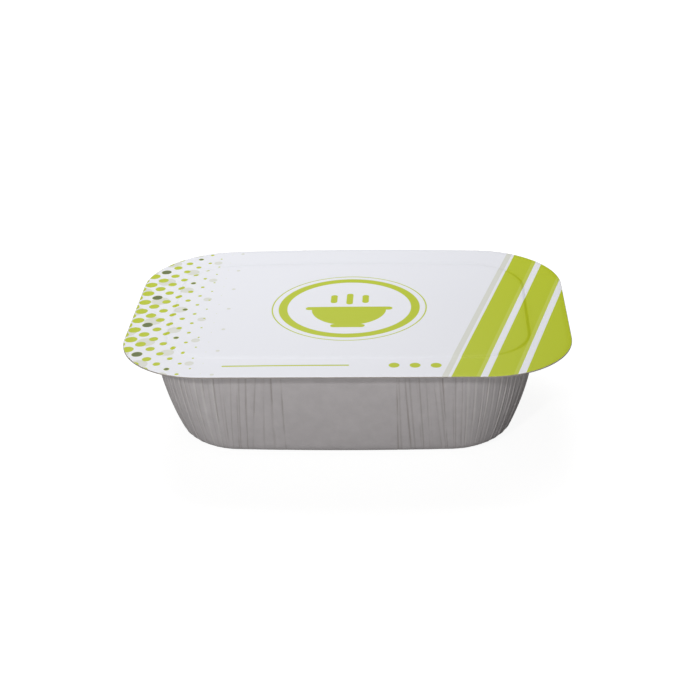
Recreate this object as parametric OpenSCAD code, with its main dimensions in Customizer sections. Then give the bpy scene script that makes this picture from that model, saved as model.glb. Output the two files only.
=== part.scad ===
// Paper food container: a tray pressed from one sheet of board, with a flat board lid.
// The origin is the middle of the footprint, on the underside of the base. The long side
// lies along X and the front faces -Y. The tray's wall is gathered into pleats everywhere
// except for a smooth panel in the middle of each side.

/* [Outline] */
// Length of the flange, end to end
outline_l = 218.4; // [210:0.2:235]
// Width of the flange, where the long sides start to bow
outline_w = 148.4; // [144:0.2:162]
// Outward bow of each long side at its middle
side_bow = 2.8; // [0:0.1:4]
// Corner radius of the flange
outline_r = 40.9; // [40:0.1:46]
// How much lower the two ends of the rim are than its middle
end_droop = 1.3; // [0:0.1:2]

/* [Tray] */
// Height from the underside of the base to the top of the flange
tray_h = 57.2; // [50:0.2:62]
// Thickness of the board
board = 0.55; // [0.4:0.05:0.8]
// Flat width of the flange
flange_flat = 10.8; // [9:0.1:12]
// Corner radius of the opening
opening_r = 38; // [34:0.5:40]
// Corner radius of the flat of the base
base_r = 23; // [20:0.5:26]
// Bend radius between flange and wall
rim_bend = 2.5; // [1.5:0.1:3.5]
// Bend radius between wall and base
base_bend = 10.2; // [8:0.1:13]
// Slope of the wall off the vertical, just below the rim
top_draft = 4.6; // [3:0.2:7]
// Slope of the wall off the vertical, just above the base bend
foot_draft = 21; // [16:0.5:24]

/* [Pleats] */
// Depth of the crease beside each pleat
crease_d = 0.32; // [0.1:0.02:0.4]
// Height of the lapped edge of each corner pleat
lap_h = 0.26; // [0:0.02:0.4]
// Width of the smooth panel in the middle of each long side
long_panel = 56; // [50:0.5:62]
// Width of the smooth panel in the middle of each end
end_panel = 24; // [18:0.5:30]
// How far the smooth panels of the long sides lie to the left of the middle
panel_left = 1; // [0:0.1:3]
// How far the creases beside a long panel lean towards the corner at the base
crease_lean = 3.4; // [0:0.1:4]

/* [Lid] */
// Distance from the lid's edge to the raised middle panel
panel_inset = 19.5; // [17:0.5:22]
// Rise of the middle panel over the border
panel_rise = 0.45; // [0:0.05:0.8]
// Width of the slope round the panel
panel_slope = 2.2; // [1.5:0.1:3]
// Corner radius of the raised panel
panel_r = 25; // [22:0.5:28]
// How far the lid stands out past the flange all round, when both are centred
lid_over = 1.8; // [1.8:0.1:3]
// How far the tray lies to the left under the lid
tray_left = 1.8; // [0:0.1:1.8]

/* [Hidden] */

// Cells of the pleating from the middle of a long side to the middle of an end:
// half the long panel, the creases of the long wall, the corner fan, the creases of
// the end wall and half the end panel.
long_cells = 2;
long_creases = 7;
corner_pleats = 17;
end_creases = 3;
end_cells = 1;
corner_start = long_cells + long_creases;
corner_end = corner_start + corner_pleats;
panel_start = corner_end + end_creases;
quarter = panel_start + end_cells;
cells = 4 * quarter;

// Smallest step in X that counts as one
sliver = 0.01;

// Places in a cell that get a point: crease, lapped edge, crown, foot of the next crease
STEPS = [0, 0.16, 0.5, 0.84];

// Corner pleats alternate between long ones and short ones that die out on the wall
short_end = 0.5;
short_spread = 0.15;
// Largest shift of a crease along the wall, in cells, and how much weaker the weakest crease is
jitter = 0.18;
weaker = 0.4;
// Angles from one crease to the next, and from quarter to quarter, that set what differs
strength_turn = 57;
end_turn = 71;
top_turn = 97;
foot_turn = 131;
quarter_turn = 61;

// Angles of the wall section against the horizontal, at its top and at its foot
top_a = 90 - top_draft;
foot_a = 90 - foot_draft;
// The wall is one large arc: its radius follows from the height left between the bends
wall_arc = (tray_h - board - rim_bend * (1 - cos(top_a)) - base_bend * (1 - cos(foot_a)))
    / (cos(foot_a) - cos(top_a));
wall_run = wall_arc * (sin(top_a) - sin(foot_a));
opening_inset = flange_flat + rim_bend * sin(top_a);
base_inset = opening_inset + wall_run + base_bend * sin(foot_a);

// Distance from the flange's outline to the top and the foot of the lid panel's slope
panel_top = panel_inset + panel_slope - lid_over;
panel_foot = panel_inset - lid_over;

// Corner radius against the distance from the flange's outline, for the tray and for the lid
TRAY_R = [[0, outline_r], [opening_inset, opening_r], [base_inset, base_r]];
LID_R = [[-lid_over, outline_r + lid_over], [panel_foot, panel_r + panel_slope], [panel_top, panel_r]];

// Straight stretches of the opening: creases that start there run straight down
long_fold = outline_l / 2 - opening_inset - opening_r;
end_fold = outline_w / 2 - opening_inset - opening_r;

// A number kept between 0 and 1
function share(t) = max(0, min(1, t));

// A point of the round-cornered outline in the first quarter, s along it from the middle
// of the long side: [x, y, outward direction]
function spot(a, b, r, s) =
    let (arc = r * PI / 2, t = s - (a - r))
    t < 0 ? [s, b, 90]
    : t < arc ? [a - r + r * sin(90 * t / arc), b - r + r * cos(90 * t / arc), 90 - 90 * t / arc]
    : [a, b - r - (t - arc), 0];

// Length of that quarter outline
function quarter_len(a, b, r) = a - r + r * PI / 2 + b - r;

// Where cell coordinate c lies along the quarter outline, for a share of the wall's depth
function along(c, q, len, depth) =
    lookup(c, [[0, 0], [long_cells, long_panel / 2 + (q < 2 ? -panel_left : panel_left)],
        [corner_start, long_fold], [corner_end, len - end_fold],
        [panel_start, len - end_panel / 2], [quarter, len]])
    + (c > long_cells && c < corner_start
        ? crease_lean * depth * sin(180 * (c - long_cells) / long_creases)
        : 0);

// Small steady differences from one crease to the next, from -1 to 1
function vary(line, q, turn) = sin(line * turn + q * quarter_turn);

// 1 where a crease is and 0 on the smooth panels
function creased(line) = line >= long_cells && line <= panel_start ? 1 : 0;

// How far a crease is shifted at a depth: the ones beside a smooth panel stay in place
function shifted(line, q, depth) =
    creased(line - 1) * creased(line + 1) * jitter
    * (vary(line, q, top_turn) * (1 - depth) + vary(line, q, foot_turn) * depth);

// The shift between two creases runs evenly from one to the next
function slid(c, q, depth) =
    let (line = floor(c), p = c - line)
    c + shifted(line, q, depth) * (1 - p) + shifted(line + 1, q, depth) * p;

// Whether a cell coordinate is in the corner's fan of pleats
function in_corner(c) = c > corner_start && c < corner_end;

// Depth at which a short corner pleat starts to die out
function short_end_at(line, q) = short_end - short_spread * vary(line, q, end_turn);

// How much of a crease is left at a depth: every other corner pleat dies out
function strength(line, q, depth) =
    creased(line) * (1 - weaker * (1 - vary(line, q, strength_turn)) / 2)
    * (in_corner(line) && line % 2 == 1 ? share(1 - 3 * (depth - short_end_at(line, q))) : 1);

// Height of the wall's relief at cell coordinate c, outwards positive
function relief(c, q, depth) =
    let (line = floor(c), p = c - line, lap = in_corner(c) ? lap_h : 0)
    lookup(p, [[0, -crease_d], [STEPS[1], lap], [STEPS[2], lap / 3], [STEPS[3], 0], [1, -crease_d]])
    * (p > 0.5 ? strength(line + 1, q, depth) : strength(line, q, depth));

// A ring of points round the container. radii gives the corner radius at the inset;
// bite is the share of the pleats' relief, 0 for a smooth ring; steps are the places in
// each cell; shift moves the ring along X.
function ring(radii, inset, z, depth, steps, bite, shift) =
    let (a = outline_l / 2 - inset, b = outline_w / 2 - inset, r = lookup(inset, radii),
        len = quarter_len(a, b, r))
    [for (n = [0 : cells - 1], f = steps)
        let (q = floor(n / quarter), k = n % quarter,
            c = q % 2 == 0 ? k + f : quarter - k - f,
            pleated = len(steps) > 1,
            p = spot(a, b, r, along(pleated ? slid(c, q, depth) : c, q, len, depth)),
            out = bite * (pleated ? relief(c, q, depth) : -crease_d * creased(c)),
            x = p.x + out * cos(p.z),
            y = (p.y + out * sin(p.z)) * (1 + side_bow / b * (1 - (x / a) ^ 2)))
        bowed((q < 2 ? x : -x) + shift, q == 0 || q == 3 ? -y : y, z)];

// The rim droops towards its two ends, and the base and the floor stay flat
function bowed(x, y, z) =
    let (lift = share((z - board) / (tray_h - board)))
    [x, y, z - end_droop * lift * (2 * x / outline_l) ^ 2];

// Index of step j of cell n on ring [first index, points in a cell]
function at(r, n, j) =
    r[1] == 1 ? r[0] + (n + (j == len(STEPS) ? 1 : 0)) % cells
    : r[0] + (len(STEPS) * n + j) % (len(STEPS) * cells);

// Triangles between two rings; a smooth ring has one point to the pleated ring's four
function band(r, s) = [
    for (n = [0 : cells - 1], j = [0 : len(STEPS) - 1])
        let (a = at(r, n, j), b = at(r, n, j + 1), c = at(s, n, j + 1), d = at(s, n, j))
        each [if (a != b) [a, b, c], if (c != d) [a, c, d]]];

function reversed(list) = [for (i = [len(list) - 1 : -1 : 0]) list[i]];

// A cap on a smooth ring: strips from the front edge to the back edge on both sides of
// the middle, and one face along each straight end
function cap(points, r, up) =
    let (half = 2 * quarter,
        last = len([for (n = [0 : quarter]) if (points[n].x < points[quarter].x - sliver) n]) - 1)
    [for (side = [0, 1], n = [0 : last])
        let (walk = n == last ? [for (m = [n : half - n]) m] : [n, n + 1, half - n - 1, half - n],
            face = [for (m = walk) r[0] + (side == 0 ? m : cells - m) % cells])
        (side == 0) == up ? reversed(face) : face];

// Closed solid through a list of rings, from the first cap to the last
module ringed(rings) {
    sizes = [for (r = rings) len(r)];
    starts = [for (i = 0, sum = 0; i < len(rings); sum = sum + sizes[i], i = i + 1) sum];
    marks = [for (i = [0 : len(rings) - 1]) [starts[i], sizes[i] / cells]];
    polyhedron(
        points = [for (r = rings) each r],
        faces = concat(
            cap(rings[0], marks[0], true),
            [for (i = [0 : len(rings) - 2]) each band(marks[i], marks[i + 1])],
            cap(rings[len(rings) - 1], marks[len(rings) - 1], false)),
        convexity = 8);
}

// Section of the tray's outer face: [distance from the outline, height, slope angle]
function rim_at(a) = [flange_flat + rim_bend * sin(a), tray_h - board - rim_bend * (1 - cos(a)), a];
function wall_at(a) =
    [opening_inset + wall_arc * (sin(top_a) - sin(a)),
        rim_at(top_a).y - wall_arc * (cos(a) - cos(top_a)), a];
function base_at(a) =
    [base_inset - base_bend * sin(a), base_bend * (1 - cos(a)), a];

// The same section moved one board thickness to the inside
function inner(p) = [p.x + board * sin(p.z), p.y + board * cos(p.z), p.z];

// 0 at the top of the wall and 1 at its foot
function depth_of(p) = share((rim_at(top_a).y - p.y) / (rim_at(top_a).y - base_at(foot_a).y));

// Pleats grow out of the rim bend and die out in the base bend
function bite_of(p) = p.y > rim_at(top_a).y ? p.z / top_a : min(1, p.z / foot_a);

function tray_ring(p, steps) = ring(TRAY_R, p.x, p.y, depth_of(p), steps, bite_of(p), -tray_left);

module tray() {
    // Inside, from the middle of the floor up to the edge of the flange, then down the outside
    bend_turns = 5;
    wall_turns = 3;
    inside = concat(
        [for (i = [0 : bend_turns - 1]) inner(base_at(foot_a * i / bend_turns))],
        [for (i = [0 : wall_turns]) inner(wall_at(foot_a + (top_a - foot_a) * i / wall_turns))],
        [inner(rim_at(top_a / 2)), inner(rim_at(0))]);
    flange = [[0, tray_h, 0], [0, tray_h - board, 0], rim_at(0), rim_at(top_a / 2)];
    outside = concat(
        [for (i = [wall_turns : -1 : 0]) wall_at(foot_a + (top_a - foot_a) * i / wall_turns)],
        [for (i = [bend_turns - 1 : -1 : 1]) base_at(foot_a * i / bend_turns)]);
    color("#9a918b")
        ringed(concat(
            [for (p = concat(inside, flange)) tray_ring(p, [0])],
            [for (p = outside) tray_ring(p, STEPS)],
            [tray_ring(base_at(0), [0])]));
}

module lid() {
    // Section from the panel's middle to the edge, as distance from the flange's outline and rise
    section = [[panel_top, panel_rise], [panel_foot, 0], [-lid_over, 0]];
    color("#eef0f1")
        ringed([for (p = concat([for (p = section) [p.x, p.y + board]], reversed(section)))
            ring(LID_R, p.x, tray_h + p.y, 0, [0], 0, 0)]);
}

tray();
lid();
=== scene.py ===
"""Paper food container: a pleated tray pressed from one sheet of board, with a printed board lid."""
import math

import bmesh
import bpy
from mathutils import Matrix, Vector


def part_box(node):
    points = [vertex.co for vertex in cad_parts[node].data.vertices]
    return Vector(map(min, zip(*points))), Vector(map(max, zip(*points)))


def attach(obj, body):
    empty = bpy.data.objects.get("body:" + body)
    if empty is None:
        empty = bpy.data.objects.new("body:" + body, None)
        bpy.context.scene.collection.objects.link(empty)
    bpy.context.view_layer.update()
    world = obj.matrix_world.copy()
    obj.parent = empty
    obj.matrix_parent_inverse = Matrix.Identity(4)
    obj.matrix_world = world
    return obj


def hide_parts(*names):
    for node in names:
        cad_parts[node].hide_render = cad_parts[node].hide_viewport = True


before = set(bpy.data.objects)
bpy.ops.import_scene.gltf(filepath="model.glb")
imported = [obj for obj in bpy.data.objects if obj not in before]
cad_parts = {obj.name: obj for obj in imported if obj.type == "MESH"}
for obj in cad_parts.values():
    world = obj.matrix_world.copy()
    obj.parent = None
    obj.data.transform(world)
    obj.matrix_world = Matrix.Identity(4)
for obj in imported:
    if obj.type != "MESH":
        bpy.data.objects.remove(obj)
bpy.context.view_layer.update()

bl_info = {
    "name": "Paper food container",
    "version": (1, 0, 0),
    "blender": (4, 5, 0),
    "location": "View3D > Sidebar > Food container",
    "description": "Builds a pleated paperboard tray, its printed lid and a plain studio",
    "category": "Object",
}

MM = 0.001
TRAY_LOW, TRAY_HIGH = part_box("tray")
LID_LOW, LID_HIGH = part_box("lid")

# Cells of the pleating from the middle of a long side to the middle of an end
LONG_CELLS = 2
LONG_CREASES = 7
CORNER_PLEATS = 17
END_CREASES = 3
END_CELLS = 1
CORNER_START = LONG_CELLS + LONG_CREASES
CORNER_END = CORNER_START + CORNER_PLEATS
PANEL_START = CORNER_END + END_CREASES
QUARTER = PANEL_START + END_CELLS
CELLS = 4 * QUARTER

# Points in a cell round a pleated ring and round a smooth one
FINE = 12
COARSE = 3
# How much the points of a cell crowd towards its creases
CROWDING = 0.1
# Rounding of the board's cut edges
EDGE_RADIUS = 0.1 * MM
# Points this near the end of a ring along X count as on it
SLIVER = 0.01 * MM

# Rings of points in the rim bend, on the wall and in the base bend, inside and outside
INSIDE_RINGS = (5, 14, 8)
OUTSIDE_RINGS = (7, 26, 10)
# Rings of points in the lid's raised panel, on its slope and on its border
LID_RINGS = (22, 8, 6)
# Share of a crease's full depth that shows at the inner edge of the flange
FLANGE_BITE = 0.6

# Depth on the wall at which the short pleats of a corner start to fade, and how fast they do
FADE_START = (0.38, 0.62)
FADE_RATE = 3.0
# Strength of the weakest and of the strongest crease
CREASE_STRENGTH = (0.3, 1.0)
# Half width of a crease, and middle and half width of the lap beside it, in cells
CREASE_HALF = 0.07
LAP_MIDDLE = 0.21
LAP_HALF = 0.17
# Strength of the fainter second line beside a crease, where below 0 means none, and its place in cells
SECOND_STRENGTH = (-0.2, 0.75)
SECOND_PLACE = (-0.42, 0.42)
# How much wider the cells of the smooth panels are than the others
PANEL_CELL = 4.0

# One wave of the lid's unevenness is 2 pi times as long as these, along X and along Y
WAVE_X = 31 * MM
WAVE_Y = 23 * MM


# Settings

def size(name, text, default):
    """A length in metres."""
    return bpy.props.FloatProperty(
        name=name, description=text, default=default, subtype="DISTANCE", unit="LENGTH", precision=5)


def angle(name, text, degrees):
    """An angle, its default given in degrees."""
    return bpy.props.FloatProperty(
        name=name, description=text, default=math.radians(degrees), subtype="ANGLE", unit="ROTATION")


def number(name, text, default):
    """A plain number."""
    return bpy.props.FloatProperty(name=name, description=text, default=default)


def ink(name, text, default):
    """A colour as an sRGB hex value."""
    return bpy.props.StringProperty(name=name, description=text, default=default)


class TraySettings(bpy.types.PropertyGroup):
    """Sizes and colours of the pressed tray."""
    side_bow: size("Side bow", "Outward bow of each long side at its middle", 2.8 * MM)
    corner: size("Corner radius", "Corner radius of the flange", 40.9 * MM)
    droop: size("End droop", "How much lower the two ends of the rim are than its middle", 1.3 * MM)
    board: size("Board", "Thickness of the board", 0.55 * MM)
    flange: size("Flange", "Flat width of the flange", 10.8 * MM)
    opening_corner: size("Opening corner", "Corner radius of the opening", 38 * MM)
    base_corner: size("Base corner", "Corner radius of the flat of the base", 23 * MM)
    rim_bend: size("Rim bend", "Bend radius between flange and wall", 2.5 * MM)
    base_bend: size("Base bend", "Bend radius between wall and base", 10.2 * MM)
    top_draft: angle("Top draft", "Slope of the wall off the vertical, below the rim", 4.6)
    foot_draft: angle("Foot draft", "Slope of the wall off the vertical, above the base bend", 21)
    long_panel: size("Long panel", "Width of the smooth panel in each long side", 56 * MM)
    panel_left: size("Panel left", "How far the long sides' panels lie to the left", 1 * MM)
    end_panel: size("End panel", "Width of the smooth panel in each end", 24 * MM)
    crease_lean: size("Crease lean", "How far side creases lean to the corner at the base", 3.4 * MM)
    crease_shift: number("Crease shift", "Largest shift of a crease along the wall, in cells", 0.18)
    crease_depth: size("Crease depth", "Depth of a crease", 0.24 * MM)
    lap_height: size("Lap height", "Height of the lapped edge of a corner pleat", 0.26 * MM)
    buckle: size("Buckle", "Height of the soft upright folds of the wall", 0.4 * MM)
    seed: bpy.props.IntProperty(name="Seed", description="Picks the differences between pleats", default=7)
    outside: ink("Outside", "Colour of the board's outside", "#B9B5B6")
    # The crease colour is painted shade down in the creases, and the edge colour a painted highlight along
    # the lapped edges
    crease_shade_tint: ink("Crease tint", "Colour down in the creases", "#938C89")
    edge_highlight_tint: ink("Edge tint", "Colour along the lapped edges", "#C4C1C0")
    inside: ink("Inside", "Colour of the lined inside", "#A79F9A")


class LidSettings(bpy.types.PropertyGroup):
    """Sizes and colours of the lid."""
    panel_inset: size("Panel inset", "Distance from the edge to the raised panel", 19.5 * MM)
    panel_rise: size("Panel rise", "Rise of the middle panel", 0.45 * MM)
    panel_slope: size("Panel slope", "Width of the slope round the panel", 2.2 * MM)
    panel_corner: size("Panel corner", "Corner radius of the raised panel", 25 * MM)
    wave: size("Wave", "Height of the soft unevenness of the lid", 0.1 * MM)
    dot_pitch: number("Dot pitch", "Spacing of the printed dots, in mm", 8.0)
    ring_radius: number("Ring radius", "Radius of the printed ring, in mm", 34.0)
    stripe_slant: number("Stripe slant", "How far the stripes run along X for each step along Y", -0.25)
    white: ink("White", "Colour of the coated face", "#EDEFF6")
    lime: ink("Lime", "Main colour of the print", "#BBC90C")
    bright: ink("Bright lime", "Lighter colour of the print", "#C2CF45")
    dark: ink("Dark green", "Darkest colour of the print", "#5F6D33")
    ghost: ink("Ghost", "Palest colour of the print", "#DCDED6")
    core: ink("Core", "Colour of the uncoated underside and cut edge", "#A39C96")


class StageSettings(bpy.types.PropertyGroup):
    """Camera and light of the studio."""
    elevation: angle("Elevation", "Height of the camera above the lid's plane", 24.46)
    azimuth: angle("Azimuth", "How far the camera stands to the right of the front", 2.89)
    roll: angle("Roll", "Turn of the camera about its own axis", -1.51)
    distance: size("Distance", "From the camera to the middle of the flange", 816.65 * MM)
    pivot: size("Pivot height", "Height of the point that the distance is measured from", 55.97 * MM)
    aim_x: size("Aim X", "X of the point that the camera looks at", -0.16 * MM)
    aim_z: size("Aim Z", "Height of the point that the camera looks at", 33.76 * MM)
    focal: number("Focal length", "Of the lens, on a 36 mm sensor, in mm", 81.6)
    key: number("Key light", "Power of the large light above the back, in watts", 10.3)
    front: number("Front light", "Power of the wide light in front, in watts", 3.7)
    small: number("Small light", "Power of the small light that draws the lid's shadow, in watts", 4.0)
    sky: number("Sky", "Strength of the even light from all round", 0.055)
    bounce: number("Bounce", "Strength of the light that the floor in front gives back", 0.2)


# Colours and nodes

def linear(text):
    """Linear RGBA of an sRGB hex value."""
    parts = [int(text[i:i + 2], 16) / 255 for i in (1, 3, 5)]
    return tuple(c / 12.92 if c <= 0.04045 else ((c + 0.055) / 1.055) ** 2.4 for c in parts) + (1.0,)


def node(tree, kind, inputs=None, **settings):
    """Adds a node with its settings, values and links, and gives back its outputs."""
    made = tree.nodes.new(kind)
    for name, value in settings.items():
        setattr(made, name, value)
    for key, value in (inputs or {}).items():
        if isinstance(value, bpy.types.NodeSocket):
            tree.links.new(value, made.inputs[key])
        else:
            made.inputs[key].default_value = value
    return made.outputs


def maths(tree, operation, *values, clamp=False):
    """Result of a Math node."""
    return node(tree, "ShaderNodeMath", dict(enumerate(values)), operation=operation, use_clamp=clamp)[0]


def mixed(tree, factor, first, second):
    """Colour between two colours."""
    return node(tree, "ShaderNodeMix", {0: factor, 6: first, 7: second}, data_type="RGBA")[2]


def new_material(name):
    """An empty node material, with its tree."""
    made = bpy.data.materials.new(name)
    made.use_nodes = True
    made.node_tree.nodes.clear()
    return made, made.node_tree


def finish_surface(tree, shader):
    """Links a shader to the material's output."""
    node(tree, "ShaderNodeOutputMaterial", {"Surface": shader})


# The outline and section that the tray and the lid share

def lookup(key, table):
    """Value at key between the listed pairs."""
    for (x0, y0), (x1, y1) in zip(table, table[1:]):
        if key <= x1:
            return y0 + (y1 - y0) * max(0.0, key - x0) / (x1 - x0)
    return table[-1][1]


def share(value):
    """A number kept between 0 and 1."""
    return max(0.0, min(1.0, value))


def spot(a, b, r, s):
    """Point of a rounded rectangle, s along its first quarter from the middle of the long side."""
    t = s - (a - r)
    if t < 0:
        return s, b
    if t < r * math.pi / 2:
        return a - r + r * math.sin(t / r), b - r + r * math.cos(t / r)
    return a, b - r - (t - r * math.pi / 2)


class Form:
    """Plan outline and wall section, worked out from the frame and the tray's settings."""

    def __init__(self, tray):
        self.tray = tray
        self.length = TRAY_HIGH.x - TRAY_LOW.x
        self.width = TRAY_HIGH.y - TRAY_LOW.y - 2 * tray.side_bow
        self.height = TRAY_HIGH.z
        # Slopes of the wall where it starts and where it ends, and the radius of its arc
        self.top = math.pi / 2 - tray.top_draft
        self.foot = math.pi / 2 - tray.foot_draft
        fall = self.height - tray.board
        fall -= tray.rim_bend * (1 - math.cos(self.top)) + tray.base_bend * (1 - math.cos(self.foot))
        self.arc = fall / (math.cos(self.foot) - math.cos(self.top))
        self.opening = tray.flange + tray.rim_bend * math.sin(self.top)
        run = self.arc * (math.sin(self.top) - math.sin(self.foot))
        self.base = self.opening + run + tray.base_bend * math.sin(self.foot)
        self.radii = [(0, tray.corner), (self.opening, tray.opening_corner), (self.base, tray.base_corner)]
        self.long_fold = self.length / 2 - self.opening - tray.opening_corner
        self.end_fold = self.width / 2 - self.opening - tray.opening_corner

    def rim_at(self, slope):
        """Outer face in the bend under the flange: inset, height and slope."""
        bend = self.tray.rim_bend
        fall = self.tray.board + bend * (1 - math.cos(slope))
        return self.tray.flange + bend * math.sin(slope), self.height - fall, slope

    def wall_at(self, slope):
        """Outer face on the wall's large arc."""
        fall = self.arc * (math.cos(slope) - math.cos(self.top))
        inset = self.opening + self.arc * (math.sin(self.top) - math.sin(slope))
        return inset, self.rim_at(self.top)[1] - fall, slope

    def base_at(self, slope):
        """Outer face in the bend above the base."""
        bend = self.tray.base_bend
        return self.base - bend * math.sin(slope), bend * (1 - math.cos(slope)), slope

    def inner(self, section):
        """The same place on the inside of the board."""
        inset, height, slope = section
        board = self.tray.board
        return inset + board * math.sin(slope), height + board * math.cos(slope), slope

    def depth(self, height):
        """0 at the top of the wall and 1 at its foot."""
        high = self.rim_at(self.top)[1]
        return share((high - height) / (high - self.base_at(self.foot)[1]))

    def drooped(self, x, height):
        """Height of a point after the rim's droop towards its ends."""
        board = self.tray.board
        lift = share((height - board) / (self.height - board))
        return height - self.tray.droop * lift * (2 * x / self.length) ** 2

    def slid(self, cell, quarter, depth):
        """Cell coordinate after the small shifts of the creases at a depth."""
        line = math.floor(cell)
        shifts = []
        for n in (line, line + 1):
            top, foot = (math.sin(math.radians(turn * n + 61 * quarter)) for turn in (97, 131))
            loose = LONG_CELLS < n < PANEL_START
            shifts.append(self.tray.crease_shift * (top * (1 - depth) + foot * depth) if loose else 0.0)
        return cell + shifts[0] + (shifts[1] - shifts[0]) * (cell - line)

    def along(self, cell, quarter, whole, depth):
        """Distance along the quarter outline of a cell coordinate."""
        tray = self.tray
        cell = self.slid(cell, quarter, depth)
        off_middle = -tray.panel_left if quarter < 2 else tray.panel_left
        marks = [
            (0, 0), (LONG_CELLS, tray.long_panel / 2 + off_middle), (CORNER_START, self.long_fold),
            (CORNER_END, whole - self.end_fold), (PANEL_START, whole - tray.end_panel / 2),
            (QUARTER, whole)]
        reach = lookup(cell, marks)
        if LONG_CELLS < cell < CORNER_START:
            reach += tray.crease_lean * depth * math.sin(math.pi * (cell - LONG_CELLS) / LONG_CREASES)
        return reach

    def ring(self, radii, inset, height, steps, shift, depth=0.0, even=False):
        """Points round the container at an inset, each with its cell coordinate and quarter."""
        a, b = self.length / 2 - inset, self.width / 2 - inset
        r = lookup(inset, radii)
        whole = a - r + r * math.pi / 2 + b - r
        made = []
        for n in range(CELLS):
            quarter, k = divmod(n, QUARTER)
            for j in range(steps):
                part = j / steps - CROWDING * math.sin(2 * math.pi * j / steps)
                cell = k + part if quarter % 2 == 0 else QUARTER - k - part
                reach = whole * cell / QUARTER if even else self.along(cell, quarter, whole, depth)
                x, y = spot(a, b, r, reach)
                y *= 1 + self.tray.side_bow / b * (1 - (x / a) ** 2)
                x = (x if quarter < 2 else -x) + shift
                y = -y if quarter in (0, 3) else y
                made.append(((x, y, self.drooped(x, height)), cell, quarter))
        return made


class Skin:
    """Rings of points and the faces between them, for one closed piece."""

    def __init__(self):
        self.points = []
        self.faces = []
        self.slots = []
        self.facts = []
        self.last = None

    def ring(self, places, slot, bite=0.0, depth=0.0):
        """Adds a ring and the band of faces that joins it to the ring before. Creases are pressed in
        by the share that bite says, and depth is 0 at the top of the wall and 1 at its foot."""
        new = len(self.points), len(places) // CELLS
        self.points += [point for point, _, _ in places]
        self.facts += [(cell, quarter, bite, depth) for _, cell, quarter in places]
        if self.last:
            self.band(self.last, new, slot)
        self.last = new
        return new

    def index(self, ring, n, j, most):
        """Point j of most in cell n of a ring that may have fewer points in a cell."""
        first, steps = ring
        return first + (n * steps + j * steps // most) % (steps * CELLS)

    def band(self, old, new, slot):
        """Faces between two rings."""
        most = max(old[1], new[1])
        for n in range(CELLS):
            for j in range(most):
                walk = [self.index(old, n, j, most), self.index(old, n, j + 1, most),
                        self.index(new, n, j + 1, most), self.index(new, n, j, most)]
                self.faces.append([v for i, v in enumerate(walk) if v != walk[i - 1]])
                self.slots.append(slot)

    def cap(self, ring, slot):
        """Strips across a ring from its front edge to its back edge, and a fan along each end."""
        first, steps = ring
        count = steps * CELLS
        end = self.points[first + count // 4][0] - SLIVER
        last = sum(self.points[first + n][0] < end for n in range(count // 4)) - 1
        walks = [(n, n + 1, count // 2 - n - 1, count // 2 - n) for n in range(last)]
        walks += [(last, n, n + 1) for n in range(last + 1, count // 2 - last)]
        for side in (1, -1):
            for walk in walks:
                self.faces.append([first + (side * v) % count for v in walk])
                self.slots.append(slot)

    def mesh(self, name, materials):
        """The finished mesh, with its faces outwards."""
        data = bpy.data.meshes.new(name)
        data.from_pydata(self.points, [], self.faces)
        for material in materials:
            data.materials.append(material)
        data.polygons.foreach_set("material_index", self.slots)
        work = bmesh.new()
        work.from_mesh(data)
        bmesh.ops.recalc_face_normals(work, faces=work.faces)
        work.to_mesh(data)
        work.free()
        data.shade_smooth()
        return data


def spread(low, high, count):
    """count + 1 even values from low to high."""
    return [low + (high - low) * i / count for i in range(count + 1)]


def keep(name, data, replaced):
    """Puts a finished mesh into the scene in place of a node."""
    made = bpy.data.objects.new(name, data)
    bpy.context.scene.collection.objects.link(made)
    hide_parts(replaced)
    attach(made, "root")
    return made


# Materials

# The print's places and sizes are in mm from the middle of the lid
# Dots: pitch in dot pitches, X where they are largest, X where they end, largest radius, ink
DOT_FIELDS = (
    (2.2, -128.0, -46.0, 7.5, "ghost"),
    (1.0, -120.0, -58.0, 4.1, "lime"),
    (3.0, -126.0, -64.0, 4.6, "dark"),
)
# X from and to of the stripes where they cross the X axis, and width of their lighter edge
GHOST_STRIPE = (66.0, 69.0)
LIME_STRIPES = ((70.5, 84.0), (87.5, 101.0), (104.5, 160.0))
STRIPE_EDGE = 2.0
RING_WIDTH = 4.5
THIN_RING_GAP = 5.5
THIN_RING_WIDTH = 0.7
# The rule and the beads along the front edge
FOOT_LINE = -66.0
RULE_MIDDLE = -28.0
RULE_HALF = 30.0
RULE_RADIUS = 0.6
BEADS = (24.0, 34.0, 44.0)
BEAD_RADIUS = 2.6


def in_millimetres(tree):
    """Object coordinates in millimetres."""
    place = node(tree, "ShaderNodeTexCoord")["Object"]
    return node(tree, "ShaderNodeVectorMath", {0: place, "Scale": 1 / MM}, operation="SCALE")[0]


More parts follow.
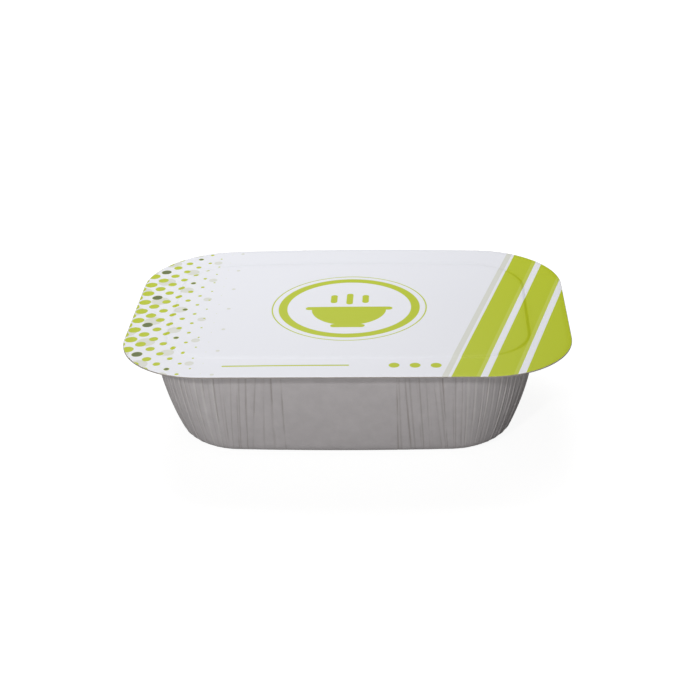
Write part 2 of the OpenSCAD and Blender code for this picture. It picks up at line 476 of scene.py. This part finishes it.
def board_material(name, tint, creases=None):
    """Uncoated pressed paperboard: matt, faintly mottled by clumps of fibre, with a fine tooth.
    Creases are painted darker as shade, and their lapped edges are painted lighter as a highlight."""
    made, tree = new_material(name)
    place = in_millimetres(tree)
    # Clumps of fibre are a few millimetres across. Single fibres are drawn 0.4 mm wide, coarser
    # than real ones, so that the tooth still shows from a step away.
    clumps = node(tree, "ShaderNodeTexNoise", {"Vector": place, "Scale": 0.2, "Detail": 4.0})[0]
    fibres = node(tree, "ShaderNodeTexNoise", {"Vector": place, "Scale": 2.4, "Detail": 3.0})[0]
    mottle = maths(tree, "MULTIPLY_ADD", clumps, 0.6, maths(tree, "MULTIPLY", fibres, 0.4))
    tone = node(tree, "ShaderNodeMapRange", {
        "Value": mottle, "From Min": 0.3, "From Max": 0.7, "To Min": 0.92, "To Max": 1.06})[0]
    colour = node(tree, "ShaderNodeRGB")[0]
    colour.default_value = linear(tint)
    if creases:
        crease_shade_tint, edge_highlight_tint = creases
        # Painted shade down in the creases and a painted highlight along the lapped edges, by shares read
        # from the pressed mesh
        shaded, painted_highlight, fold = (
            node(tree, "ShaderNodeAttribute", attribute_name=fact)["Fac"]
            for fact in ("crease_shade", "edge_light", "fold"))
        colour = mixed(tree, shaded, colour, linear(crease_shade_tint))
        colour = mixed(tree, painted_highlight, colour, linear(edge_highlight_tint))
        # Painted light and shade: folds that stand out are painted a little lighter, and those that lie back
        # a little darker
        tone = maths(tree, "MULTIPLY_ADD", fold, 0.16, tone)
    grey = node(tree, "ShaderNodeCombineXYZ", {0: tone, 1: tone, 2: tone})[0]
    colour = node(tree, "ShaderNodeVectorMath", {0: colour, 1: grey}, operation="MULTIPLY")[0]
    bump = node(tree, "ShaderNodeBump", {"Strength": 0.4, "Distance": 0.06 * MM, "Height": fibres})[0]
    shader = node(tree, "ShaderNodeBsdfPrincipled", {
        "Base Color": colour, "Roughness": 0.7, "IOR": 1.48, "Normal": bump})[0]
    finish_surface(tree, shader)
    return made


class Print:
    """Flat shapes drawn on the lid in millimetres, each as a soft-edged mask."""

    def __init__(self, tree):
        self.tree = tree
        parts = node(tree, "ShaderNodeSeparateXYZ", {0: in_millimetres(tree)})
        self.x, self.y = parts[0], parts[1]

    def op(self, operation, *values, clamp=False):
        """Result of a Math node."""
        return maths(self.tree, operation, *values, clamp=clamp)

    def length(self, x, y):
        """Length of a vector."""
        squares = self.op("MULTIPLY_ADD", x, x, self.op("MULTIPLY", y, y))
        return self.op("SQRT", squares)

    def disc(self, x, y, radius):
        """Distance to a disc."""
        far = self.length(self.op("SUBTRACT", self.x, x), self.op("SUBTRACT", self.y, y))
        return self.op("SUBTRACT", far, radius)

    def bar(self, x, y, half_x, half_y, radius):
        """Distance to a round-ended bar along X or Y."""
        past = []
        for place, middle, half in ((self.x, x, half_x), (self.y, y, half_y)):
            away = self.op("ABSOLUTE", self.op("SUBTRACT", place, middle))
            past.append(self.op("MAXIMUM", self.op("SUBTRACT", away, half), 0.0))
        return self.op("SUBTRACT", self.length(*past), radius)

    def outline(self, distance, width):
        """Distance to a line drawn along the edge of a shape."""
        return self.op("SUBTRACT", self.op("ABSOLUTE", distance), width / 2)

    def both(self, *distances):
        """Distance to what several shapes share."""
        made = distances[0]
        for other in distances[1:]:
            made = self.op("MAXIMUM", made, other)
        return made

    def either(self, *distances):
        """Distance to several shapes together."""
        made = distances[0]
        for other in distances[1:]:
            made = self.op("MINIMUM", made, other)
        return made

    def mask(self, distance, soft=0.15):
        """1 inside a shape and 0 outside, with a soft edge."""
        return self.op("MULTIPLY_ADD", distance, -0.5 / soft, 0.5, clamp=True)


def dots(art, pitch, start, end, largest):
    """Dots on a slanted grid that shrink from X = start to nothing at X = end."""
    slant = math.sqrt(0.5) / pitch
    u = art.op("MULTIPLY", art.op("ADD", art.x, art.y), slant)
    v = art.op("MULTIPLY", art.op("SUBTRACT", art.x, art.y), slant)
    middles = [art.op("ADD", art.op("FLOOR", c), 0.5) for c in (u, v)]
    offsets = [art.op("MULTIPLY", art.op("SUBTRACT", c, m), pitch) for c, m in zip((u, v), middles)]
    middle_x = art.op("MULTIPLY", art.op("ADD", *middles), pitch * math.sqrt(0.5))
    radius = node(art.tree, "ShaderNodeMapRange", {
        "Value": middle_x, "From Min": start, "From Max": end, "To Min": largest, "To Max": -0.6})[0]
    return art.op("SUBTRACT", art.length(*offsets), radius)


def stripe(art, low, high, slant):
    """A straight stripe across the lid between two places on the X axis."""
    place = art.op("MULTIPLY_ADD", art.y, slant, art.x)
    middle = art.op("ABSOLUTE", art.op("SUBTRACT", place, (low + high) / 2))
    return art.op("SUBTRACT", middle, (high - low) / 2)


def bowl(art, radius):
    """A steaming bowl: half a disc on a foot, with three short bars over it."""
    rim_y = -0.08 * radius
    body = art.both(art.disc(0.0, rim_y, 0.56 * radius), art.op("SUBTRACT", art.y, rim_y))
    rim = art.bar(0.0, rim_y + 0.04 * radius, 0.6 * radius, 0.0, 0.055 * radius)
    foot = art.bar(0.0, rim_y - 0.58 * radius, 0.2 * radius, 0.0, 0.055 * radius)
    steam = []
    for n in (-1, 0, 1):
        half = (0.15 - 0.05 * abs(n)) * radius
        steam.append(art.bar(n * 0.24 * radius, 0.3 * radius, 0.0, half, 0.05 * radius))
    return art.either(body, rim, foot), art.either(*steam)


def print_material(lid):
    """Clay-coated white board, offset printed: smooth, with a low soft sheen that the print shares.
    Ink sinks into the coating, so print and bare board shine alike."""
    made, tree = new_material("clay-coated board, offset printed")
    art = Print(tree)
    body, steam = bowl(art, lid.ring_radius)
    ring = art.outline(art.disc(0.0, 0.0, lid.ring_radius), RING_WIDTH)
    thin_ring = art.outline(art.disc(0.0, 0.0, lid.ring_radius + THIN_RING_GAP), THIN_RING_WIDTH)
    rule = art.bar(RULE_MIDDLE, FOOT_LINE, RULE_HALF, 0.0, RULE_RADIUS)
    beads = art.either(*[art.disc(x, FOOT_LINE, BEAD_RADIUS) for x in BEADS])
    slant = lid.stripe_slant
    layers = [
        (dots(art, times * lid.dot_pitch, start, end, largest), getattr(lid, tint))
        for times, start, end, largest, tint in DOT_FIELDS]
    layers.append((stripe(art, *GHOST_STRIPE, slant), lid.ghost))
    layers += [(stripe(art, low, high, slant), lid.lime) for low, high in LIME_STRIPES]
    layers += [(stripe(art, high - STRIPE_EDGE, high, slant), lid.bright) for _, high in LIME_STRIPES[:-1]]
    layers += [(shape, lid.lime) for shape in (ring, thin_ring, body, steam, art.either(rule, beads))]
    colour = linear(lid.white)
    for distance, tint in layers:
        colour = mixed(tree, art.mask(distance), colour, linear(tint))
    # The coating shows a faint orange peel, drawn 1.5 mm across
    peel = node(tree, "ShaderNodeTexNoise", {"Vector": in_millimetres(tree), "Scale": 0.7, "Detail": 3.0})[0]
    bump = node(tree, "ShaderNodeBump", {"Strength": 0.12, "Distance": 0.03 * MM, "Height": peel})[0]
    shader = node(tree, "ShaderNodeBsdfPrincipled", {
        "Base Color": colour, "Roughness": 0.5, "Specular IOR Level": 0.25, "Normal": bump})[0]
    finish_surface(tree, shader)
    return made


# The tray

def pleats_tree():
    """Geometry Nodes that press creases and lapped pleats into the smooth wall."""
    tree = bpy.data.node_groups.new("Pleats", "GeometryNodeTree")
    sockets = {}
    for name, kind in (("Geometry", "Geometry"), ("Crease Depth", "Float"), ("Lap Height", "Float"),
                       ("Buckle", "Float"), ("Seed", "Int"), ("Outside", "Material"),
                       ("Inside", "Material")):
        sockets[name] = tree.interface.new_socket(name, in_out="INPUT", socket_type="NodeSocket" + kind)
    tree.interface.new_socket("Geometry", in_out="OUTPUT", socket_type="NodeSocketGeometry")
    given = node(tree, "NodeGroupInput")

    def op(operation, *values, clamp=False):
        return maths(tree, operation, *values, clamp=clamp)

    def fact(name):
        return node(tree, "GeometryNodeInputNamedAttribute", {"Name": name}, data_type="FLOAT")[0]

    def chance(line, low, high, turn):
        """A value that is the same all down one crease."""
        seed = op("ADD", given["Seed"], turn)
        return node(tree, "FunctionNodeRandomValue", {2: low, 3: high, "ID": line, "Seed": seed},
                    data_type="FLOAT")[1]

    cell, bite, depth = fact("cell"), fact("bite"), fact("depth")
    line = op("ROUND", cell)
    crease = op("MULTIPLY_ADD", fact("quarter"), 100.0, line)
    on_panel = op(
        "ADD", op("LESS_THAN", cell, float(LONG_CELLS)), op("GREATER_THAN", cell, float(PANEL_START)))
    # Distance to the nearest crease, in cells of the common width
    off = op("MULTIPLY", op("SUBTRACT", cell, line), op("MULTIPLY_ADD", on_panel, PANEL_CELL - 1, 1.0))
    creased = op(
        "MULTIPLY", op("GREATER_THAN", line, LONG_CELLS - 0.5), op("LESS_THAN", line, PANEL_START + 0.5))
    fan = op(
        "MULTIPLY", op("GREATER_THAN", line, CORNER_START + 0.5), op("LESS_THAN", line, CORNER_END - 0.5))
    odd = op("GREATER_THAN", op("MODULO", line, 2.0), 0.5)
    past = op("SUBTRACT", depth, chance(crease, *FADE_START, 1.0))
    fading = op("MULTIPLY_ADD", past, -FADE_RATE, 1.0, clamp=True)
    # Only every other pleat of the fan dies out on the wall
    short = op("MULTIPLY", fan, odd)
    left = op("MULTIPLY_ADD", short, op("SUBTRACT", fading, 1.0), 1.0)
    strength = op("MULTIPLY", op("MULTIPLY", creased, left), chance(crease, *CREASE_STRENGTH, 2.0))
    # A crease is pressed harder in some places than in others
    place = node(tree, "ShaderNodeCombineXYZ", {0: op("MULTIPLY", crease, 3.7), 1: depth})[0]
    pressed = node(tree, "ShaderNodeTexNoise", {"Vector": place, "Scale": 2.2, "Detail": 1.0})[0]
    pressed = op("MULTIPLY_ADD", pressed, 3.2, -1.0, clamp=True)
    strength = op("MULTIPLY", strength, bite)

    def hump(middle, width):
        """1 at a distance from the crease, falling away smoothly on both sides."""
        far = op("DIVIDE", op("SUBTRACT", off, middle), width)
        return op("EXPONENT", op("MULTIPLY", op("MULTIPLY", far, far), -1.0))

    groove = op("MULTIPLY", op("MULTIPLY", strength, pressed), hump(0.0, CREASE_HALF))
    # A fainter line runs beside some creases
    faint = op("MULTIPLY", op("MULTIPLY", bite, creased), chance(crease, *SECOND_STRENGTH, 3.0))
    beside = hump(chance(crease, *SECOND_PLACE, 4.0), CREASE_HALF)
    faint = op("MULTIPLY", op("MAXIMUM", faint, 0.0), beside)
    groove = op("MAXIMUM", groove, op("MULTIPLY", faint, op("SUBTRACT", 1.0, on_panel)))
    lap = op("MULTIPLY", op("MULTIPLY", strength, fan), hump(LAP_MIDDLE, LAP_HALF))
    height = op(
        "SUBTRACT", op("MULTIPLY", lap, given["Lap Height"]), op("MULTIPLY", groove, given["Crease Depth"]))
    # Soft upright folds between the creases, a cell or two wide; the smooth panels have none
    round_all = op("MULTIPLY_ADD", fact("quarter"), 40.0, cell)
    plan = node(tree, "ShaderNodeCombineXYZ", {0: round_all, 1: depth})[0]
    soft = node(tree, "ShaderNodeTexNoise", {"Vector": plan, "Scale": 1.3, "Detail": 2.0})[0]
    near = node(tree, "ShaderNodeMapRange", {
        "Value": cell, "From Min": float(LONG_CELLS), "From Max": LONG_CELLS + 1.0})[0]
    far = node(tree, "ShaderNodeMapRange", {
        "Value": cell, "From Min": float(PANEL_START), "From Max": PANEL_START - 1.0})[0]
    fold = op("MULTIPLY", op("MULTIPLY", op("SUBTRACT", soft, 0.5), bite), op("MULTIPLY", near, far))
    height = op("MULTIPLY_ADD", fold, given["Buckle"], height)
    normal = node(tree, "GeometryNodeInputNormal")[0]
    offset = node(tree, "ShaderNodeVectorMath", {0: normal, "Scale": height}, operation="SCALE")[0]

    shape = given["Geometry"]
    # The outside material paints shade by crease_shade, a highlight by edge_light, and light and shade by
    # fold
    for name, value in (("crease_shade", groove), ("edge_light", lap), ("fold", fold)):
        shape = node(tree, "GeometryNodeStoreNamedAttribute", {
            "Geometry": shape, "Name": name, "Value": value}, data_type="FLOAT", domain="POINT")[0]
    shape = node(tree, "GeometryNodeSetPosition", {"Geometry": shape, "Offset": offset})[0]
    shape = node(tree, "GeometryNodeRealizeInstances", {"Geometry": shape})[0]
    lined = op("GREATER_THAN", fact("lined"), 0.5)
    shape = node(tree, "GeometryNodeSetMaterial", {"Geometry": shape, "Material": given["Outside"]})[0]
    shape = node(tree, "GeometryNodeSetMaterial", {
        "Geometry": shape, "Selection": lined, "Material": given["Inside"]})[0]
    node(tree, "NodeGroupOutput", {"Geometry": shape})
    return tree, sockets


def tray_skin(form):
    """The tray's smooth form: inside from the floor up, over the flange's edge, then down the outside."""
    shift = (TRAY_LOW.x + TRAY_HIGH.x) / 2
    skin = Skin()
    rim_rings, wall_rings, bend_rings = INSIDE_RINGS
    inside = [form.inner(form.base_at(s)) for s in spread(0, form.foot, bend_rings)]
    inside += [form.inner(form.wall_at(s)) for s in spread(form.foot, form.top, wall_rings)[1:]]
    inside += [form.inner(form.rim_at(s)) for s in spread(form.top, 0, rim_rings)[1:]]
    high, low = form.height, form.height - form.tray.board
    inside += [(2 * EDGE_RADIUS, high, 0), (EDGE_RADIUS / 3, high - EDGE_RADIUS / 3, 0)]
    inside.append((0, high - EDGE_RADIUS, 0))
    for n, (inset, height, _) in enumerate(inside):
        ring = skin.ring(form.ring(form.radii, inset, height, COARSE, shift), 1)
        if n == 0:
            skin.cap(ring, 1)
    edge = [(0, low + EDGE_RADIUS), (EDGE_RADIUS / 3, low + EDGE_RADIUS / 3), (2 * EDGE_RADIUS, low)]
    for inset, height in edge:
        skin.ring(form.ring(form.radii, inset, height, COARSE, shift), 0)
    flange = form.tray.flange
    for part in (0.25, 0.5, 0.75):
        skin.ring(form.ring(form.radii, flange * part, low, FINE, shift), 0, bite=FLANGE_BITE * part)
    rim_rings, wall_rings, bend_rings = OUTSIDE_RINGS
    outside = [form.rim_at(s) for s in spread(0, form.top, rim_rings)]
    outside += [form.wall_at(s) for s in spread(form.top, form.foot, wall_rings)[1:]]
    outside += [form.base_at(s) for s in spread(form.foot, 0, bend_rings)[1:-1]]
    rim_low = form.rim_at(form.top)[1]
    for inset, height, slope in outside:
        depth = form.depth(height)
        if height > rim_low:
            bite = FLANGE_BITE + (1 - FLANGE_BITE) * slope / form.top
        else:
            bite = share(slope / form.foot)
        skin.ring(form.ring(form.radii, inset, height, FINE, shift, depth), 0, bite, depth)
    inset, height, _ = form.base_at(0)
    skin.ring(form.ring(form.radii, inset, height, COARSE, shift, 1.0), 0)
    ring = skin.ring(form.ring(form.radii, inset + form.tray.board, height, COARSE, shift, 1.0), 0)
    skin.cap(ring, 0)
    return skin


class ContainerTray(bpy.types.Operator):
    """Builds the pressed tray with its pleated walls"""
    bl_idname = "container.tray"
    bl_label = "Pressed tray"

    def execute(self, context):
        tray = context.scene.container_tray
        # Colours of the painted shade in the creases and of the painted highlight on the lapped edges
        creases = tray.crease_shade_tint, tray.edge_highlight_tint
        outside = board_material("pressed paperboard, grey-brown", tray.outside, creases)
        inside = board_material("pressed paperboard, lined inside", tray.inside)
        skin = tray_skin(Form(tray))
        smooth = skin.mesh("tray_smooth", [outside, inside])
        for place, name in enumerate(("cell", "quarter", "bite", "depth")):
            values = [float(fact[place]) for fact in skin.facts]
            smooth.attributes.new(name, "FLOAT", "POINT").data.foreach_set("value", values)
        lined = smooth.attributes.new("lined", "FLOAT", "FACE")
        lined.data.foreach_set("value", [float(slot) for slot in skin.slots])
        source = bpy.data.objects.new("tray_smooth", smooth)
        context.scene.collection.objects.link(source)
        tree, sockets = pleats_tree()
        pleats = source.modifiers.new("Pleats", "NODES")
        pleats.node_group = tree
        for name, value in (("Crease Depth", tray.crease_depth), ("Lap Height", tray.lap_height),
                            ("Buckle", tray.buckle), ("Seed", tray.seed), ("Outside", outside),
                            ("Inside", inside)):
            pleats[sockets[name].identifier] = value
        shaped = source.evaluated_get(context.evaluated_depsgraph_get())
        pressed = bpy.data.meshes.new_from_object(shaped)
        pressed.name = "tray_shell"
        bpy.data.objects.remove(source)
        keep("tray_shell", pressed, "tray")
        return {"FINISHED"}


# The lid

class ContainerLid(bpy.types.Operator):
    """Builds the flat printed lid with its raised panel"""
    bl_idname = "container.lid"
    bl_label = "Printed lid"

    def execute(self, context):
        lid = context.scene.container_lid
        form = Form(context.scene.container_tray)
        board = form.tray.board
        shift = (LID_LOW.x + LID_HIGH.x) / 2
        low = form.height
        # Insets count from the flange's outline, and the lid stands out past it
        over = (LID_HIGH.x - LID_LOW.x - form.length) / 2
        foot = lid.panel_inset - over
        inner = foot + lid.panel_slope
        deepest = form.width / 2 - 0.5 * MM
        radii = [(-over, form.tray.corner + over), (foot, lid.panel_corner + lid.panel_slope),
                 (inner, lid.panel_corner), (deepest, 0.4 * MM)]

        def rise(inset):
            t = share((inset - foot) / lid.panel_slope)
            return lid.panel_rise * t * t * (3 - 2 * t)

        panel_rings, slope_rings, border_rings = LID_RINGS
        insets = spread(deepest, inner, panel_rings)[:-1] + spread(inner, foot, slope_rings)
        insets += spread(foot, 2 * EDGE_RADIUS - over, border_rings)[1:]
        top = [(inset, low + board + rise(inset), 0) for inset in insets]
        edge = [
            (EDGE_RADIUS / 3 - over, low + board - EDGE_RADIUS / 3, 1), (-over, low + board - EDGE_RADIUS, 1),
            (-over, low + EDGE_RADIUS, 1), (EDGE_RADIUS / 3 - over, low + EDGE_RADIUS / 3, 1)]
        under = [(inset, low + rise(inset), 1) for inset in reversed(insets)]
        skin = Skin()
        sections = top + edge + under
        for n, (inset, height, slot) in enumerate(sections):
            ring = skin.ring(form.ring(radii, inset, height, COARSE, shift, even=True), slot)
            if n in (0, len(sections) - 1):
                skin.cap(ring, slot)
        # A die-cut card is never quite flat: slow waves inside the sealed border
        waved = []
        for x, y, z in skin.points:
            away = min(form.length / 2 - abs(x - shift), form.width / 2 - abs(y))
            fade = share((away - form.tray.flange) / (3 * form.tray.flange))
            wave = math.sin(x / WAVE_X + 1.0) * math.sin(y / WAVE_Y + 2.0)
            waved.append((x, y, z + lid.wave * fade * wave))
        skin.points = waved
        core = board_material("uncoated board, grey core", lid.core)
        keep("lid_board", skin.mesh("lid_board", [print_material(lid), core]), "lid")
        return {"FINISHED"}


# The studio

# Name, place, point that it faces and width, in metres, and the setting with its power
LIGHTS = (
    ("light_over", (-0.15, 0.6, 0.9), (0, 0, 0.05), 0.8, "key"),
    ("light_front", (-0.1, -1.1, 0.2), (0, 0, 0.03), 0.7, "front"),
    ("light_small", (-0.3, -1.0, 0.67), (0, 0, 0.04), 0.08, "small"),
)
FLOOR_RADIUS = 3.0
# Least share of plain white in what the floor shows, and the distances from the middle at which
# the share starts to rise and is whole
LEAST_WHITE = 0.8
WHITE_FROM = 0.1
WHITE_WHOLE = 0.24
# Y where the floor starts to light the front wall, and where it does so in full
BOUNCE_FROM = -0.035
BOUNCE_WHOLE = -0.06
# Share of that light at the left and at the right, and how far out those are
BOUNCE_LEFT = 1.2
BOUNCE_RIGHT = 0.5
BOUNCE_SPAN = 0.15
# Strength of the even light at the left and at the right, of what the setting says
SKY_LEFT = 1.3
SKY_RIGHT = 0.5


def floor_material(bounce):
    """Matt white paper sweep: it takes the object's shadow and is plain white farther out.
    The walls see it dimmer, apart from the lit stretch in front."""
    made, tree = new_material("matt white paper sweep")
    path = node(tree, "ShaderNodeLightPath")
    seen = maths(tree, "MAXIMUM", path["Is Camera Ray"], path["Is Transmission Ray"])
    flat = node(tree, "ShaderNodeTexCoord")["Object"]
    away = node(tree, "ShaderNodeVectorMath", {0: flat}, operation="LENGTH")["Value"]
    lit = node(tree, "ShaderNodeMapRange", {
        "Value": away, "From Min": WHITE_FROM, "From Max": WHITE_WHOLE, "To Min": LEAST_WHITE},
        interpolation_type="SMOOTHSTEP")[0]
    tint = mixed(tree, seen, linear("#A0A0A0"), linear("#F6F6F6"))
    paper = node(tree, "ShaderNodeBsdfDiffuse", {"Color": tint})[0]
    white = node(tree, "ShaderNodeEmission", {"Strength": 1.15})[0]
    shown = node(tree, "ShaderNodeMixShader", {0: maths(tree, "MULTIPLY", seen, lit), 1: paper, 2: white})[0]
    parts = node(tree, "ShaderNodeSeparateXYZ", {0: flat})
    front = node(tree, "ShaderNodeMapRange", {
        "Value": parts[1], "From Min": BOUNCE_FROM, "From Max": BOUNCE_WHOLE, "To Max": bounce})[0]
    left = node(tree, "ShaderNodeMapRange", {
        "Value": parts[0], "From Min": -BOUNCE_SPAN, "From Max": BOUNCE_SPAN,
        "To Min": BOUNCE_LEFT, "To Max": BOUNCE_RIGHT})[0]
    unseen = maths(tree, "SUBTRACT", 1.0, seen)
    given_back = maths(tree, "MULTIPLY", unseen, maths(tree, "MULTIPLY", front, left))
    glow = node(tree, "ShaderNodeEmission", {"Strength": given_back})[0]
    finish_surface(tree, node(tree, "ShaderNodeAddShader", {0: shown, 1: glow})[0])
    return made


def light(name, place, target, extent, power):
    """A soft disc of light that faces a point."""
    lamp = bpy.data.lights.new(name, "AREA")
    lamp.shape = "DISK"
    lamp.size = extent
    lamp.energy = power
    made = bpy.data.objects.new(name, lamp)
    made.location = place
    made.rotation_euler = (Vector(target) - Vector(place)).to_track_quat("-Z", "Y").to_euler()
    bpy.context.scene.collection.objects.link(made)


class ContainerStudio(bpy.types.Operator):
    """Builds the camera, the lights and the floor"""
    bl_idname = "container.studio"
    bl_label = "Plain studio"

    def execute(self, context):
        stage = context.scene.container_stage
        bpy.ops.mesh.primitive_circle_add(vertices=96, radius=FLOOR_RADIUS, fill_type="NGON")
        floor = context.object
        floor.name = "floor"
        floor.data.materials.append(floor_material(stage.bounce))
        for name, place, target, extent, setting in LIGHTS:
            light(name, place, target, extent, getattr(stage, setting))
        world = bpy.data.worlds.new("even white studio")
        world.use_nodes = True
        tree = world.node_tree
        tree.nodes.clear()
        path = node(tree, "ShaderNodeLightPath")
        seen = maths(tree, "MAXIMUM", path["Is Camera Ray"], path["Is Transmission Ray"])
        # The room is warmer than the lamps, and dimmer and warmer still to the right
        toward = node(tree, "ShaderNodeSeparateXYZ", {0: node(tree, "ShaderNodeTexCoord")["Generated"]})[0]
        right = node(tree, "ShaderNodeMapRange", {"Value": toward, "From Min": -0.6, "From Max": 0.9})[0]
        fall = (SKY_RIGHT - SKY_LEFT) * stage.sky
        plain = maths(tree, "MULTIPLY_ADD", right, fall, SKY_LEFT * stage.sky)
        strength = node(tree, "ShaderNodeMix", {0: seen, 2: plain, 3: 1.0})[0]
        tint = mixed(tree, right, linear("#FAF0E6"), linear("#F2C8A6"))
        tint = mixed(tree, seen, tint, (1, 1, 1, 1))
        sky = node(tree, "ShaderNodeBackground", {"Color": tint, "Strength": strength})[0]
        node(tree, "ShaderNodeOutputWorld", {"Surface": sky})
        context.scene.world = world
        context.scene.view_settings.view_transform = "Standard"
        self.camera(context, stage)
        return {"FINISHED"}

    def camera(self, context, stage):
        """Places the camera at the viewing angle of the photograph."""
        level = math.cos(stage.elevation)
        away = Vector((math.sin(stage.azimuth) * level, -math.cos(stage.azimuth) * level,
                       math.sin(stage.elevation)))
        place = Vector((0, 0, stage.pivot)) + stage.distance * away
        ahead = (Vector((stage.aim_x, 0, stage.aim_z)) - place).normalized()
        right = ahead.cross(Vector((0, 0, 1))).normalized()
        up = right.cross(ahead)
        turned_right = right * math.cos(stage.roll) + up * math.sin(stage.roll)
        turned_up = up * math.cos(stage.roll) - right * math.sin(stage.roll)
        data = bpy.data.cameras.new("camera")
        data.sensor_width = 36.0
        data.lens = stage.focal
        data.clip_start = 0.05
        made = bpy.data.objects.new("camera", data)
        columns = Matrix((turned_right, turned_up, -ahead)).transposed().to_4x4()
        made.matrix_world = Matrix.Translation(place) @ columns
        context.scene.collection.objects.link(made)
        context.scene.camera = made


class ContainerPanel(bpy.types.Panel):
    """Lists the pieces of the container"""
    bl_idname = "VIEW3D_PT_food_container"
    bl_label = "Paper food container"
    bl_space_type = "VIEW_3D"
    bl_region_type = "UI"
    bl_category = "Food container"

    def draw(self, context):
        for settings, operator in (
                (context.scene.container_tray, ContainerTray),
                (context.scene.container_lid, ContainerLid),
                (context.scene.container_stage, ContainerStudio)):
            box = self.layout.box()
            box.operator(operator.bl_idname)
            for name in settings.__annotations__:
                box.prop(settings, name)


CLASSES = (
    TraySettings, LidSettings, StageSettings, ContainerTray, ContainerLid, ContainerStudio, ContainerPanel)


def register():
    """Registers the classes and gives the scene its settings."""
    for made in CLASSES:
        bpy.utils.register_class(made)
    bpy.types.Scene.container_tray = bpy.props.PointerProperty(type=TraySettings)
    bpy.types.Scene.container_lid = bpy.props.PointerProperty(type=LidSettings)
    bpy.types.Scene.container_stage = bpy.props.PointerProperty(type=StageSettings)


def unregister():
    """Takes the settings and the classes away again."""
    del bpy.types.Scene.container_stage
    del bpy.types.Scene.container_lid
    del bpy.types.Scene.container_tray
    for made in reversed(CLASSES):
        bpy.utils.unregister_class(made)


def main():
    """Builds the whole scene."""
    register()
    bpy.ops.container.studio()
    bpy.ops.container.tray()
    bpy.ops.container.lid()


if __name__ == "__main__":
    main()
